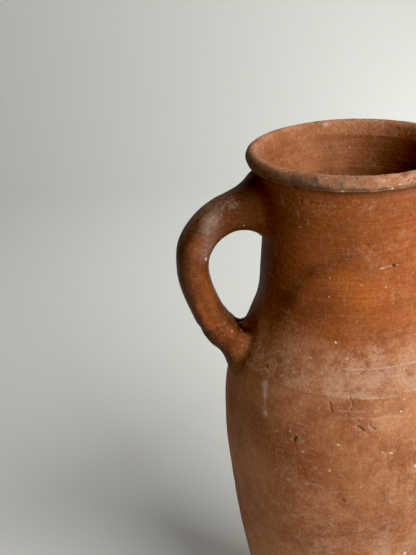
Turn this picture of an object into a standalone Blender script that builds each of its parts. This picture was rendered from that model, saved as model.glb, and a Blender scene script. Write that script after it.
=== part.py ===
"""Two-handled terracotta amphora, modelled as the separate pieces that a potter joins.

The jar is thrown in sections: a lower body, and a shoulder over it whose seam is covered by
a strip of clay. A neck and a rolled rim follow. Each of the two strap handles is pulled
separately, and is luted on with a gusset under the rim and a pad on the shoulder.

Metres, +Z up, origin at the centre of the base. The handles lie on the X axis.
"""
import math

import bmesh
import bpy
from mathutils import Euler, Vector

# Driving dimensions
HEIGHT = 0.530
BASE_RADIUS = 0.0475
BELLY_RADIUS = 0.1058
RIM_RADIUS = 0.080
RIM_ROLL = 0.0058
ROLL_INSIDE = math.radians(190)
ROLL_OUTSIDE = math.radians(-66)
WALL_BODY = 0.0080
WALL_LIP = 0.0056
FLOOR = 0.012
FLOOR_CORNER = 0.010
BASE_CHAMFER = 0.0020
GAP = 0.0003
CUTTER_LOW = 0.300

# Where the thrown sections meet, as heights above the base
BAND_LOW = 0.3543
BAND_HIGH = 0.3680
SECTION_SEAM = 0.3610
NECK_SEAM = 0.4030
LIP_SEAM = 0.5180
BAND_DEPTH = 0.0035
BAND_PROUD = 0.0004

# Strap handle: section, and the middle line from the neck to the shoulder as (out, up, swell)
STRAP_THICKNESS = 0.0232
STRAP_WIDTH = 0.0370
STRAP_ROUTE = (
    (0.0660, 0.4860, 1.32),
    (0.0940, 0.4857, 1.15),
    (0.1155, 0.4720, 1.02),
    (0.1243, 0.4448, 1.02),
    (0.1190, 0.4163, 1.08),
    (0.1052, 0.3880, 1.10),
    (0.0840, 0.3640, 1.14),
)

# Clay pad that holds the handle's foot to the shoulder
PAD_CENTRE = (0.0920, 0.3745)
PAD_HALF_SIZES = (0.0160, 0.0250, 0.0300)
PAD_LEAN = math.radians(42)

# Concave gusset of clay over the handle's root, from just under the rim down to the strap
GUSSET_HALF_WIDTH = 0.0110
GUSSET_TOP = 0.5125
GUSSET_LOW = 0.5010
GUSSET_FOOT = 0.4945
GUSSET_EDGE = 0.0012
GUSSET_REACH = 0.0885
GUSSET_HOLLOW = 2.4
GUSSET_BURIED = 0.0040

# Resolution
TURN_STEPS = 48
HEIGHT_STEP = 0.022
ROLL_STEPS = 9
CORNER_STEPS = 3
GUSSET_STEPS = 6

# Outer outline of the thrown wall, as (height, radius), from the base to the lip
OUTLINE = (
    (0.000, BASE_RADIUS),
    (0.060, 0.0683),
    (0.120, 0.0853),
    (0.184, 0.0966),
    (0.244, 0.1030),
    (0.298, BELLY_RADIUS),
    (0.340, 0.1022),
    (0.364, 0.0945),
    (0.388, 0.0832),
    (0.412, 0.0744),
    (0.436, 0.0716),
    (0.460, 0.0694),
    (0.490, 0.0706),
    (LIP_SEAM, 0.0742),
)


def remove_scene_objects():
    for old in list(bpy.data.objects):
        bpy.data.objects.remove(old, do_unlink=True)


def new_collection(name):
    collection = bpy.data.collections.new(name)
    bpy.context.scene.collection.children.link(collection)
    return collection


# ---------------------------------------------------------------- outline of the jar


def station_slopes():
    """Slope of the outline at each station, weighted by its two neighbouring spans."""
    spans = [b[0] - a[0] for a, b in zip(OUTLINE, OUTLINE[1:])]
    rises = [(b[1] - a[1]) / span for a, b, span in zip(OUTLINE, OUTLINE[1:], spans)]
    slopes = [rises[0]]
    for i in range(1, len(rises)):
        slopes.append((rises[i - 1] * spans[i] + rises[i] * spans[i - 1]) / (spans[i - 1] + spans[i]))
    slopes.append(rises[-1])
    return slopes


SLOPES = station_slopes()


def outer_radius(height):
    """Radius of the outer wall at a height: a smooth cubic through the outline's stations."""
    index = 0
    while index < len(OUTLINE) - 2 and height > OUTLINE[index + 1][0]:
        index += 1
    low, high = OUTLINE[index], OUTLINE[index + 1]
    span = high[0] - low[0]
    t = (height - low[0]) / span
    value = (2 * t**3 - 3 * t**2 + 1) * low[1] + (3 * t**2 - 2 * t**3) * high[1]
    value += (t**3 - 2 * t**2 + t) * span * SLOPES[index]
    value += (t**3 - t**2) * span * SLOPES[index + 1]
    return value


def inner_radius(height):
    """Radius of the inner wall, which thins from the shoulder up to the lip."""
    rise = (height - NECK_SEAM) / (LIP_SEAM - NECK_SEAM)
    share = min(max(rise, 0.0), 1.0)
    wall = WALL_BODY + (WALL_LIP - WALL_BODY) * share
    return outer_radius(height) - wall


def heights_between(low, high):
    """Heights from low to high on one grid that every piece shares, with the seams."""
    seams = (BAND_LOW, SECTION_SEAM, BAND_HIGH, NECK_SEAM)
    grid = [i * HEIGHT_STEP for i in range(int(HEIGHT / HEIGHT_STEP) + 1)]
    clear = 0.25 * HEIGHT_STEP
    inner = [seam for seam in seams if low + 2 * GAP < seam < high - 2 * GAP]
    for height in grid:
        if all(abs(height - other) > clear for other in (*seams, low, high)):
            if low < height < high:
                inner.append(height)
    return [low, *sorted(inner), high]


def outside_down(low, high, offset=0.0):
    return [(outer_radius(h) + offset, h) for h in reversed(heights_between(low, high))]


def inside_up(low, high):
    return [(inner_radius(h), h) for h in heights_between(low, high)]


# ---------------------------------------------------------------- building blocks


def terracotta(name, colour, roughness):
    material = bpy.data.materials.new(name)
    material.use_nodes = True
    shader = material.node_tree.nodes["Principled BSDF"]
    shader.inputs["Base Color"].default_value = (*colour, 1.0)
    shader.inputs["Roughness"].default_value = roughness
    shader.inputs["Metallic"].default_value = 0.0
    return material


def turned(name, profile, closed, collection):
    """Solid of revolution: a profile of (radius, height) points turned about Z."""
    mesh = bpy.data.meshes.new(name)
    points = [(radius, 0.0, height) for radius, height in profile]
    edges = [(i, i + 1) for i in range(len(points) - 1)]
    if closed:
        edges.append((len(points) - 1, 0))
    mesh.from_pydata(points, edges, [])
    piece = bpy.data.objects.new(name, mesh)
    collection.objects.link(piece)
    screw = piece.modifiers.new("Turn", "SCREW")
    screw.axis = "Z"
    screw.angle = math.tau
    screw.steps = TURN_STEPS
    screw.render_steps = TURN_STEPS
    screw.use_merge_vertices = True
    screw.merge_threshold = 0.00001
    screw.use_smooth_shade = True
    return piece


def curve_to_mesh(curve_object, name, collection):
    """Closed mesh of a curve, with its loose caps welded to its sides."""
    graph = bpy.context.evaluated_depsgraph_get()
    mesh = bpy.data.meshes.new_from_object(curve_object.evaluated_get(graph))
    mesh.transform(curve_object.matrix_world)
    shape = bmesh.new()
    shape.from_mesh(mesh)
    bmesh.ops.remove_doubles(shape, verts=shape.verts, dist=0.00001)
    bmesh.ops.recalc_face_normals(shape, faces=shape.faces)
    shape.to_mesh(mesh)
    shape.free()
    piece = bpy.data.objects.new(name, mesh)
    collection.objects.link(piece)
    bpy.data.objects.remove(curve_object, do_unlink=True)
    return piece


def strap(name, side, growth, collection):
    """Oval strap along the handle's middle line, made fatter all round by growth."""
    curve = bpy.data.curves.new(name, "CURVE")
    curve.dimensions = "3D"
    curve.resolution_u = 4
    curve.bevel_depth = STRAP_THICKNESS / 2 + growth
    curve.bevel_resolution = 3
    curve.use_fill_caps = True
    spline = curve.splines.new("BEZIER")
    spline.bezier_points.add(len(STRAP_ROUTE) - 1)
    for point, (out, up, swell) in zip(spline.bezier_points, STRAP_ROUTE):
        point.co = (side * out, 0.0, up)
        point.radius = swell
        point.handle_left_type = "AUTO"
        point.handle_right_type = "AUTO"
    curve_object = bpy.data.objects.new(name + "_route", curve)
    collection.objects.link(curve_object)
    curve_object.scale = (1.0, STRAP_WIDTH / STRAP_THICKNESS, 1.0)
    bpy.context.view_layer.update()
    return curve_to_mesh(curve_object, name, collection)


def cut(piece, cutter):
    boolean = piece.modifiers.new("Cut " + cutter.name, "BOOLEAN")
    boolean.operation = "DIFFERENCE"
    boolean.solver = "EXACT"
    boolean.object = cutter


def hide_cutter(cutter):
    cutter.hide_render = True
    cutter.display_type = "WIRE"


# ---------------------------------------------------------------- thrown pieces


def lower_body(collection):
    """Flat-based lower section. Its top edge is rebated for the joining band."""
    rebate = BAND_DEPTH + GAP
    corner_top = FLOOR + FLOOR_CORNER
    floor_reach = inner_radius(corner_top) - FLOOR_CORNER
    profile = [(0.0, FLOOR)]
    for i in range(CORNER_STEPS + 1):
        angle = math.radians(90) * i / CORNER_STEPS
        radius = floor_reach + FLOOR_CORNER * math.sin(angle)
        profile.append((radius, corner_top - FLOOR_CORNER * math.cos(angle)))
    profile += inside_up(corner_top, SECTION_SEAM)[1:]
    profile.append((outer_radius(SECTION_SEAM) - rebate, SECTION_SEAM))
    profile.append((outer_radius(BAND_LOW) - rebate, BAND_LOW - GAP))
    profile += outside_down(BASE_CHAMFER, BAND_LOW - GAP)
    profile.append((BASE_RADIUS - BASE_CHAMFER, 0.0))
    profile.append((0.0, 0.0))
    return turned("lower_body", profile, False, collection)


def joining_band(collection):
    """Strip of clay that covers the seam between the lower body and the shoulder."""
    heights = (BAND_HIGH, SECTION_SEAM, BAND_LOW)
    profile = [(outer_radius(h) + BAND_PROUD, h) for h in heights]
    profile += [(outer_radius(h) - BAND_DEPTH, h) for h in reversed(heights)]
    return turned("joining_band", profile, True, collection)


def shoulder(collection):
    """Sloping section from the seam up to the foot of the neck, rebated for the band."""
    rebate = BAND_DEPTH + GAP
    low = SECTION_SEAM + GAP
    profile = outside_down(BAND_HIGH + GAP, NECK_SEAM - GAP)
    profile.append((outer_radius(BAND_HIGH) - rebate, BAND_HIGH + GAP))
    profile.append((outer_radius(low) - rebate, low))
    profile += inside_up(low, NECK_SEAM - GAP)
    return turned("shoulder", profile, True, collection)


def neck(collection):
    """Tall waisted neck."""
    profile = outside_down(NECK_SEAM, LIP_SEAM)
    profile += inside_up(NECK_SEAM, LIP_SEAM)
    return turned("neck", profile, True, collection)


def rim(collection):
    """Rolled lip: a round bead with a flat seat on the neck and a notch below it."""
    centre = RIM_RADIUS - RIM_ROLL
    middle = HEIGHT - RIM_ROLL
    seat = LIP_SEAM + GAP
    profile = [(inner_radius(LIP_SEAM), seat)]
    for i in range(ROLL_STEPS + 1):
        angle = ROLL_INSIDE + (ROLL_OUTSIDE - ROLL_INSIDE) * i / ROLL_STEPS
        profile.append((centre + RIM_ROLL * math.cos(angle), middle + RIM_ROLL * math.sin(angle)))
    profile.append((outer_radius(LIP_SEAM), seat))
    return turned("rim", profile, True, collection)


# ---------------------------------------------------------------- handles


def jar_cutter(collection):
    """Solid jar, a gap bigger than the thrown pieces, that trims what is luted onto them."""
    offset = GAP + BAND_PROUD
    profile = [(0.0, HEIGHT), (outer_radius(LIP_SEAM) + offset, HEIGHT)]
    profile += outside_down(CUTTER_LOW, LIP_SEAM, offset)
    profile.append((0.0, CUTTER_LOW))
    cutter = turned("jar_cutter", profile, False, collection)
    hide_cutter(cutter)
    return cutter


def foot_pad(name, side, collection):
    """Oval pad of clay pressed round the handle's foot."""
    bpy.ops.mesh.primitive_uv_sphere_add(segments=24, ring_count=12, radius=1.0)
    pad = bpy.context.active_object
    pad.name = name
    pad.data.name = name
    lean = Euler((0.0, side * PAD_LEAN, 0.0)).to_matrix()
    centre = Vector((side * PAD_CENTRE[0], 0.0, PAD_CENTRE[1]))
    for vertex in pad.data.vertices:
        sized = Vector([c * half for c, half in zip(vertex.co, PAD_HALF_SIZES)])
        vertex.co = lean @ sized + centre
    pad.data.shade_smooth()
    for owner in list(pad.users_collection):
        owner.objects.unlink(pad)
    collection.objects.link(pad)
    return pad


def top_gusset(name, side, collection):
    """Web of clay with a concave edge, between the neck, the rim's notch and the strap."""
    curve = bpy.data.curves.new(name, "CURVE")
    curve.dimensions = "2D"
    curve.fill_mode = "BOTH"
    curve.extrude = GUSSET_HALF_WIDTH
    spline = curve.splines.new("POLY")
    root = outer_radius(GUSSET_TOP) - GUSSET_BURIED
    start = outer_radius(GUSSET_TOP) + GUSSET_EDGE
    outline = [(root, GUSSET_FOOT), (root, GUSSET_TOP)]
    for i in range(GUSSET_STEPS + 1):
        t = i / GUSSET_STEPS
        drop = (GUSSET_TOP - GUSSET_LOW) * (1 - (1 - t) ** GUSSET_HOLLOW)
        outline.append((start + (GUSSET_REACH - start) * t, GUSSET_TOP - drop))
    outline.append((GUSSET_REACH, GUSSET_FOOT))
    spline.points.add(len(outline) - 1)
    for point, (out, up) in zip(spline.points, outline):
        point.co = (side * out, up, 0.0, 1.0)
    spline.use_cyclic_u = True
    curve_object = bpy.data.objects.new(name + "_outline", curve)
    collection.objects.link(curve_object)
    curve_object.rotation_euler = (math.radians(90), 0.0, 0.0)
    bpy.context.view_layer.update()
    return curve_to_mesh(curve_object, name, collection)


def handle_set(side_name, side, jar, parts, cutters):
    """One strap handle, with the gusset over its root and the pad round its foot."""
    handle = strap("handle_" + side_name, side, 0.0, parts)
    handle.data.shade_smooth()
    cut(handle, jar)

    room = strap("strap_cutter_" + side_name, side, GAP, cutters)
    hide_cutter(room)

    pad = foot_pad("handle_" + side_name + "_foot_pad", side, parts)
    cut(pad, jar)
    cut(pad, room)

    gusset = top_gusset("handle_" + side_name + "_top_gusset", side, parts)
    cut(gusset, jar)
    cut(gusset, room)
    return handle, pad, gusset


def main():
    remove_scene_objects()
    parts = new_collection("amphora")
    cutters = new_collection("cutters")

    thrown = (
        (lower_body(parts), (0.47, 0.205, 0.105), 0.78),
        (joining_band(parts), (0.50, 0.235, 0.130), 0.82),
        (shoulder(parts), (0.44, 0.175, 0.085), 0.70),
        (neck(parts), (0.40, 0.150, 0.065), 0.62),
        (rim(parts), (0.34, 0.155, 0.090), 0.75),
    )
    for piece, colour, roughness in thrown:
        piece.data.materials.append(terracotta(piece.name + "_clay", colour, roughness))

    jar = jar_cutter(cutters)
    for side_name, side in (("left", -1), ("right", 1)):
        handle, pad, gusset = handle_set(side_name, side, jar, parts, cutters)
        handle.data.materials.append(terracotta(handle.name + "_clay", (0.33, 0.135, 0.068), 0.66))
        pad.data.materials.append(terracotta(pad.name + "_clay", (0.40, 0.165, 0.085), 0.72))
        gusset.data.materials.append(terracotta(gusset.name + "_clay", (0.24, 0.100, 0.055), 0.75))


main()
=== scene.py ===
import itertools
import math

import bpy
import numpy as np
from mathutils import Matrix, Vector


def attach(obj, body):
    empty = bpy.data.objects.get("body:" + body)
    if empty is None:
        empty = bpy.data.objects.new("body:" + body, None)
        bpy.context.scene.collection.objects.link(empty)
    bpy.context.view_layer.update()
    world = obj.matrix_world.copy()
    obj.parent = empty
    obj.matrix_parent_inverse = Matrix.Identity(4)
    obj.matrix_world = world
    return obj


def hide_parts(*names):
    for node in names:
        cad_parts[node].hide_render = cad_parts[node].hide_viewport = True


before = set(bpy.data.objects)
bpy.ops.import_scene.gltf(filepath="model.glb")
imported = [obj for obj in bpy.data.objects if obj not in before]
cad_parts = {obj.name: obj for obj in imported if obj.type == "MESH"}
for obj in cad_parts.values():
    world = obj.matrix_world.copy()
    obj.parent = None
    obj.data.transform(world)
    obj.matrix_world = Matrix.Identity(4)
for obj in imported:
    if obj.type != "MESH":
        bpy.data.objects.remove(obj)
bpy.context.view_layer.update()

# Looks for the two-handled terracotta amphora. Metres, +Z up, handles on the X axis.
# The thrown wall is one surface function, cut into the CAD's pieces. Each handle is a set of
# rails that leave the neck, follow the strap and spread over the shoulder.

MM = 0.001

# ---------------------------------------------------------------- sizes, as in the CAD

OUTLINE = (
    (0.000, 0.0475),
    (0.060, 0.0683),
    (0.120, 0.0853),
    (0.184, 0.0966),
    (0.244, 0.1030),
    (0.298, 0.1058),
    (0.340, 0.1022),
    (0.364, 0.0945),
    (0.388, 0.0832),
    (0.412, 0.0744),
    (0.436, 0.0716),
    (0.460, 0.0694),
    (0.490, 0.0706),
    (0.518, 0.0742),
)
BAND_LOW = 0.3543
BAND_HIGH = 0.3680
SECTION_SEAM = 0.3610
NECK_SEAM = 0.4030
LIP_SEAM = 0.5180
BAND_DEPTH = 0.0035
RIM_RADIUS = 0.0800
RIM_ROLL = 0.0058
HEIGHT = 0.5300
FLOOR = 0.012
WALL_BODY = 0.0080
WALL_LIP = 0.0056
BASE_CHAMFER = 0.0020
SEAM_INSET = 0.0018
RIM_SEAT_RADIUS = 0.0738
SEAT_SHARES = (0.0, 0.33, 0.66, 1.0)

# The side of the jar that faces the photographer, as an azimuth
FRONT = math.radians(-107)
COLUMNS = 448
CROWDING = 0.35
# Stretch of the fine throwing lines, which run round the jar
WALL_GRAIN = np.array([9.0, 9.0, 520.0])
RIM_GRAIN = np.array([9.0, 9.0, 400.0])

# ---------------------------------------------------------------- noise

LATTICE = np.random.default_rng(11).uniform(-1.0, 1.0, (64, 64, 64))


def noise(points, sizes, shift=0.0):
    """Smooth value noise from -1 to 1 at points, with a feature size for each axis."""
    grid = np.asarray(points) / np.asarray(sizes) + shift
    cell = np.floor(grid).astype(int)
    part = grid - cell
    part = part * part * (3 - 2 * part)
    total = np.zeros(grid.shape[:-1])
    for corner in itertools.product((0, 1), repeat=3):
        weight = np.ones(grid.shape[:-1])
        for axis, side in enumerate(corner):
            weight = weight * (part[..., axis] if side else 1 - part[..., axis])
        index = (cell + np.array(corner)) % 64
        total += weight * LATTICE[index[..., 0], index[..., 1], index[..., 2]]
    return total


def layered(points, size, octaves, shift=0.0):
    """Sum of noise octaves, each half the size and half the strength of the last."""
    total = 0.0
    for octave in range(octaves):
        total = total + noise(points, (size / 2**octave,) * 3, shift + 7.3 * octave) / 2**octave
    return total


def smooth(low, high, values):
    """Eased step from 0 at low to 1 at high. It falls where low is above high."""
    t = np.clip((values - low) / (high - low), 0.0, 1.0)
    return t * t * (3 - 2 * t)


def bell(distance, width):
    """Soft bump, 1 at distance 0."""
    return np.exp(-((distance / width) ** 2))


# ---------------------------------------------------------------- the thrown wall

HEIGHTS = np.array([station[0] for station in OUTLINE])
RADII = np.array([station[1] for station in OUTLINE])


def station_slopes():
    spans = np.diff(HEIGHTS)
    rises = np.diff(RADII) / spans
    inner = (rises[:-1] * spans[1:] + rises[1:] * spans[:-1]) / (spans[1:] + spans[:-1])
    return np.concatenate([rises[:1], inner, rises[-1:]])


SLOPES = station_slopes()


def cubic(stations, values, slopes, at):
    """Smooth cubic through values at stations, evaluated at places between them."""
    i = np.clip(np.searchsorted(stations, at) - 1, 0, len(stations) - 2)
    span = stations[i + 1] - stations[i]
    t = (at - stations[i]) / span
    shape = np.shape(t) + (1,) * (values.ndim - 1)
    t, span = np.reshape(t, shape), np.reshape(span, shape)
    curve = (2 * t**3 - 3 * t**2 + 1) * values[i] + (3 * t**2 - 2 * t**3) * values[i + 1]
    return curve + (t**3 - 2 * t**2 + t) * span * slopes[i] + (t**3 - t**2) * span * slopes[i + 1]


def outer_radius(height):
    return cubic(HEIGHTS, RADII, SLOPES, np.asarray(height, float))


def inner_radius(height):
    share = np.clip((height - NECK_SEAM) / (LIP_SEAM - NECK_SEAM), 0.0, 1.0)
    return outer_radius(height) - (WALL_BODY + (WALL_LIP - WALL_BODY) * share)


def column_angles():
    """Azimuths of the wall's columns, closer together on the front."""
    turn = np.arange(COLUMNS) * math.tau / COLUMNS
    return turn + CROWDING * np.sin(turn - (FRONT - math.pi))


ANGLES = column_angles()


def repeated(values):
    """Grid with a row for each value, which is repeated at every column."""
    return np.tile(np.asarray(values, float)[:, None], COLUMNS)


def cylindrical(radius, azimuth, height):
    """Points at a distance from the jar's axis, an azimuth and a height."""
    return np.stack([radius * np.cos(azimuth), radius * np.sin(azimuth), height], -1)


def around(azimuth, centre):
    """Signed difference of an azimuth from a centre in degrees, within half a turn."""
    return (azimuth - math.radians(centre) + math.pi) % math.tau - math.pi


def arc_and_rise(at, place):
    """Distances along and up the wall, at (azimuth, height), from a place in (degrees, height)."""
    azimuth, height = at
    along = around(azimuth, place[0]) * outer_radius(np.clip(height, 0, LIP_SEAM))
    return along, height - place[1]


def spot(at, place, half_width, half_height, lean=0.0):
    """Soft oval patch on the wall, 1 at its centre. lean turns it, in degrees."""
    along, rise = arc_and_rise(at, place)
    c, s = math.cos(math.radians(lean)), math.sin(math.radians(lean))
    u = (along * c + rise * s) / half_width
    v = (rise * c - along * s) / half_height
    return np.exp(-(u * u + v * v))


def stroke(at, start, end, half_width):
    """Soft line on the wall between two places."""
    along, rise = arc_and_rise(at, start)
    reach, lift = arc_and_rise((np.radians(end[0]), end[1]), start)
    length = reach * reach + lift * lift
    t = np.clip((along * reach + rise * lift) / length, 0.0, 1.0)
    return bell(np.hypot(along - t * reach, rise - t * lift), half_width)


def spots(at, table):
    """Sum of soft ovals, each (place, half width, half height, share)."""
    return sum(share * spot(at, *where) for *where, share in table)


def strokes(at, table):
    """Sum of soft lines, each (start, end, half width, share)."""
    return sum(share * stroke(at, *where) for *where, share in table)


# Marks on the wall. A place is (azimuth in degrees, height).
# Lime chips: place, half width and half height in mm, lean in degrees
LIME_CHIPS = (
    ((-114.4, 0.4040), 1.9, 0.9, -25),
    ((-119.0, 0.4520), 1.1, 0.8, 20),
    ((-131.7, 0.3362), 1.5, 0.9, -35),
    ((-125.4, 0.3227), 1.2, 1.4, 0),
    ((-111.0, 0.3334), 1.6, 0.8, 0),
    ((-115.9, 0.3110), 0.9, 0.8, 0),
    ((-114.2, 0.3103), 1.2, 1.3, 60),
    ((-93.4, 0.3268), 1.3, 0.9, 15),
    ((-89.6, 0.3262), 1.8, 1.3, -30),
    ((-79.0, 0.3104), 1.4, 2.2, 10),
    ((-143.7, 0.2252), 0.9, 1.2, 50),
    ((-80.5, 0.2484), 2.0, 1.1, 15),
    ((-80.2, 0.2225), 2.2, 1.8, 0),
    ((-84.4, 0.3558), 1.3, 1.0, 0),
    ((-127.4, 0.3908), 0.9, 0.8, 0),
    ((-108.2, 0.3935), 1.0, 0.9, 0),
    ((-134.6, 0.3787), 1.0, 0.8, 0),
    ((-60.0, 0.2860), 1.6, 1.1, 30),
    ((-38.0, 0.3320), 1.2, 1.2, 0),
    ((14.0, 0.2700), 1.5, 1.0, -20),
    ((52.0, 0.3180), 1.8, 1.1, 10),
    ((95.0, 0.2450), 1.4, 1.4, 0),
    ((133.0, 0.3020), 1.6, 0.9, 25),
    ((168.0, 0.1900), 1.8, 1.2, -15),
)
# Pits: place, half width, half height and depth in mm
PITS = (
    ((-129.2, 0.3328), 1.0, 1.2, 2.2),
    ((-129.9, 0.3304), 1.1, 1.2, 2.4),
    ((-151.6, 0.3747), 1.0, 1.0, 1.2),
    ((-81.3, 0.4594), 1.3, 1.3, 1.8),
    ((-108.7, 0.2849), 1.7, 0.8, 1.1),
    ((-88.7, 0.2852), 0.9, 0.9, 0.9),
    ((-135.5, 0.5090), 1.4, 1.0, 0.7),
    ((-20.0, 0.3100), 1.3, 1.0, 1.2),
    ((38.0, 0.3440), 1.0, 1.4, 1.3),
    ((80.0, 0.4300), 1.2, 0.9, 1.0),
    ((121.0, 0.2300), 1.5, 1.1, 1.2),
)
# Gouges and cracks: start, end, half width and depth in mm
GOUGES = (
    ((-103.9, 0.3478), (-101.4, 0.3447), 0.9, 1.0),
    ((-98.4, 0.3480), (-96.2, 0.3452), 0.7, 0.6),
    ((-88.2, 0.4594), (-82.4, 0.4596), 0.6, 0.4),
    ((-139.5, 0.2990), (-129.0, 0.2925), 0.6, 0.20),
    ((-129.0, 0.2925), (-116.0, 0.2975), 0.6, 0.16),
    ((-161.0, 0.4712), (-146.0, 0.4577), 0.6, 0.18),
    ((30.0, 0.3050), (41.0, 0.2990), 0.8, 0.35),
    ((101.0, 0.4650), (112.0, 0.4550), 0.6, 0.25),
)
CRACKS = (
    ((-115.0, 0.3632), (-114.6, 0.3572), 0.50, 0.8),
    ((-106.3, 0.3716), (-106.1, 0.3672), 0.50, 0.8),
    ((-106.1, 0.3672), (-105.3, 0.3640), 0.50, 0.7),
    ((-105.3, 0.3640), (-105.6, 0.3585), 0.50, 0.6),
    ((-92.5, 0.3652), (-92.9, 0.3590), 0.45, 0.25),
    ((-47.0, 0.3660), (-46.2, 0.3590), 0.80, 0.8),
    ((28.0, 0.3690), (27.0, 0.3610), 0.80, 0.8),
    ((96.0, 0.3650), (97.2, 0.3580), 0.80, 0.7),
)
# Pale scratches: start, end, share
SCRATCHES = (
    ((-141, 0.2995), (-132, 0.2935), 0.40),
    ((-132, 0.2935), (-121, 0.2960), 0.36),
    ((-121, 0.2960), (-113, 0.2945), 0.20),
    ((-139, 0.3050), (-134, 0.3010), 0.36),
    ((-138, 0.3100), (-134, 0.3085), 0.30),
    ((-146, 0.2580), (-143.5, 0.2380), 0.26),
    ((-150, 0.2640), (-147, 0.2430), 0.20),
    ((-113, 0.2915), (-105, 0.2890), 0.24),
    ((-99, 0.3480), (-93, 0.3470), 0.30),
    ((-89.5, 0.4592), (-83.2, 0.4600), 0.90),
    ((-80.5, 0.4602), (-78.5, 0.4596), 0.60),
    ((-96, 0.3450), (-92, 0.3440), 0.26),
    ((-88, 0.2230), (-86, 0.2150), 0.45),
    ((-110, 0.3863), (-62, 0.3863), 0.40),
    ((-84, 0.4036), (-50, 0.4036), 0.30),
    ((-127, 0.2700), (-118, 0.2740), 0.16),
    ((-70, 0.3200), (-55, 0.3120), 0.25),
    ((20, 0.2800), (34, 0.2880), 0.28),
    ((60, 0.2500), (72, 0.2350), 0.28),
    ((110, 0.3300), (122, 0.3250), 0.26),
    ((150, 0.2700), (158, 0.2500), 0.24),
)
# Brown smoke marks, an arc over the neck and slants low on the belly, and a painted shadow beside the
# handle
SMOKE_AND_SHADOW = (
    ((-156, 0.402), (-147, 0.428), 0.0070, 0.24),
    ((-147, 0.428), (-130, 0.456), 0.0055, 0.26),
    ((-130, 0.456), (-110, 0.468), 0.0050, 0.20),
    ((-140, 0.497), (-112, 0.486), 0.0160, 0.26),
    ((-72, 0.279), (-90, 0.253), 0.0130, 0.30),
    ((-90, 0.253), (-108, 0.226), 0.0150, 0.28),
    ((-128, 0.318), (-106, 0.303), 0.0220, 0.26),
    ((-150, 0.330), (-136, 0.305), 0.0180, 0.16),
)
SOOT_ARCS = (
    ((20, 0.300), (48, 0.262), 0.0130, 0.45),
    ((118, 0.452), (150, 0.470), 0.0080, 0.45),
)
# The first two spots are painted shade where the handle roots meet the neck under the lip; the third is
# soot.
SOOT_AND_SHADE_SPOTS = (
    ((-180, 0.507), 0.020, 0.008, 0.60),
    ((0, 0.507), 0.020, 0.008, 0.60),
    ((60, 0.445), 0.030, 0.024, 0.35),
)
DUST_SPOTS = (
    ((-129, 0.3316), 0.0045, 0.0045, 0.50),
    ((-96, 0.400), 0.011, 0.0035, 0.60),
    ((-82, 0.401), 0.006, 0.0045, 0.40),
    ((-133, 0.3715), 0.016, 0.0045, 0.95),
    ((-97, 0.379), 0.034, 0.0090, 0.20),
    ((-97, 0.474), 0.024, 0.0080, 0.32),
    ((-112, 0.507), 0.024, 0.0060, 0.42),
    ((-131, 0.505), 0.010, 0.0100, 0.32),
    ((-75, 0.378), 0.030, 0.0120, 0.30),
    ((-148, 0.381), 0.026, 0.0100, 0.45),
    ((-140, 0.411), 0.024, 0.0110, 0.48),
    ((-78, 0.440), 0.028, 0.0200, 0.42),
    ((-92, 0.233), 0.050, 0.0300, 0.50),
    ((-76, 0.298), 0.032, 0.0400, 0.32),
    ((-74, 0.486), 0.030, 0.0300, 0.20),
)
EMBER_SPOTS = (
    ((-101, 0.438), 0.020, 0.015, 0.70),
    ((-121, 0.492), 0.024, 0.020, 0.45),
    ((-112, 0.450), 0.012, 0.008, 0.50),
    ((70, 0.470), 0.030, 0.020, 0.35),
)
# A grey drip on the lower body, and three short ones on the neck
GREY_DRIPS = (
    ((-149.2, 0.3632), (-147.6, 0.3560), 0.0024, 0.75),
    ((-147.6, 0.3540), (-146.2, 0.3475), 0.0010, 0.50),
    ((-149.8, 0.5075), (-148.6, 0.5020), 0.0007, 0.32),
    ((-138.3, 0.4990), (-137.9, 0.4955), 0.0008, 0.32),
    ((-132.0, 0.4940), (-131.8, 0.4915), 0.0008, 0.30),
)
DRIP_END = (((-145.2, 0.3425), 0.0023, 0.0024, 0.75),)
# Chips in the rolled lip: place, half width, half height and depth in mm
LIP_CHIPS = (
    ((-153.0, 0.5215), 1.8, 1.4, 1.0),
    ((-136.5, 0.5195), 2.2, 1.2, 0.9),
    ((-129.0, 0.5190), 1.6, 1.2, 0.8),
    ((-100.0, 0.5205), 1.5, 1.0, 0.4),
    ((-30.0, 0.5220), 3.0, 1.6, 0.9),
    ((75.0, 0.5230), 2.0, 1.6, 0.8),
    ((150.0, 0.5210), 2.4, 1.4, 0.8),
)
# Lime on the lip: place, half width and half height in mm
LIP_LIME = (
    ((-111.5, 0.5205), 0.6, 0.6),
    ((-87.4, 0.5210), 0.7, 0.7),
    ((-84.0, 0.5235), 0.6, 0.5),
    ((-137.8, 0.5185), 0.5, 0.5),
    ((-70.0, 0.5215), 0.9, 0.8),
    ((30.0, 0.5210), 1.3, 1.0),
)


def band_edge(points):
    """Height of the ragged upper edge of the joining band."""
    ragged = noise(points, (0.011, 0.011, 9.0), 3.1) * 0.0007
    return 0.3669 + ragged + noise(points, (0.045, 0.045, 9.0), 5.7) * 0.0011


def jagged(points, azimuth):
    """Azimuths shaken a little, so that a crack drawn with them isn't straight."""
    shaken = azimuth + noise(points, (0.004, 0.004, 0.0022), 9.9) * 0.012
    return shaken + noise(points, (0.02, 0.02, 0.007)) * 0.014


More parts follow.
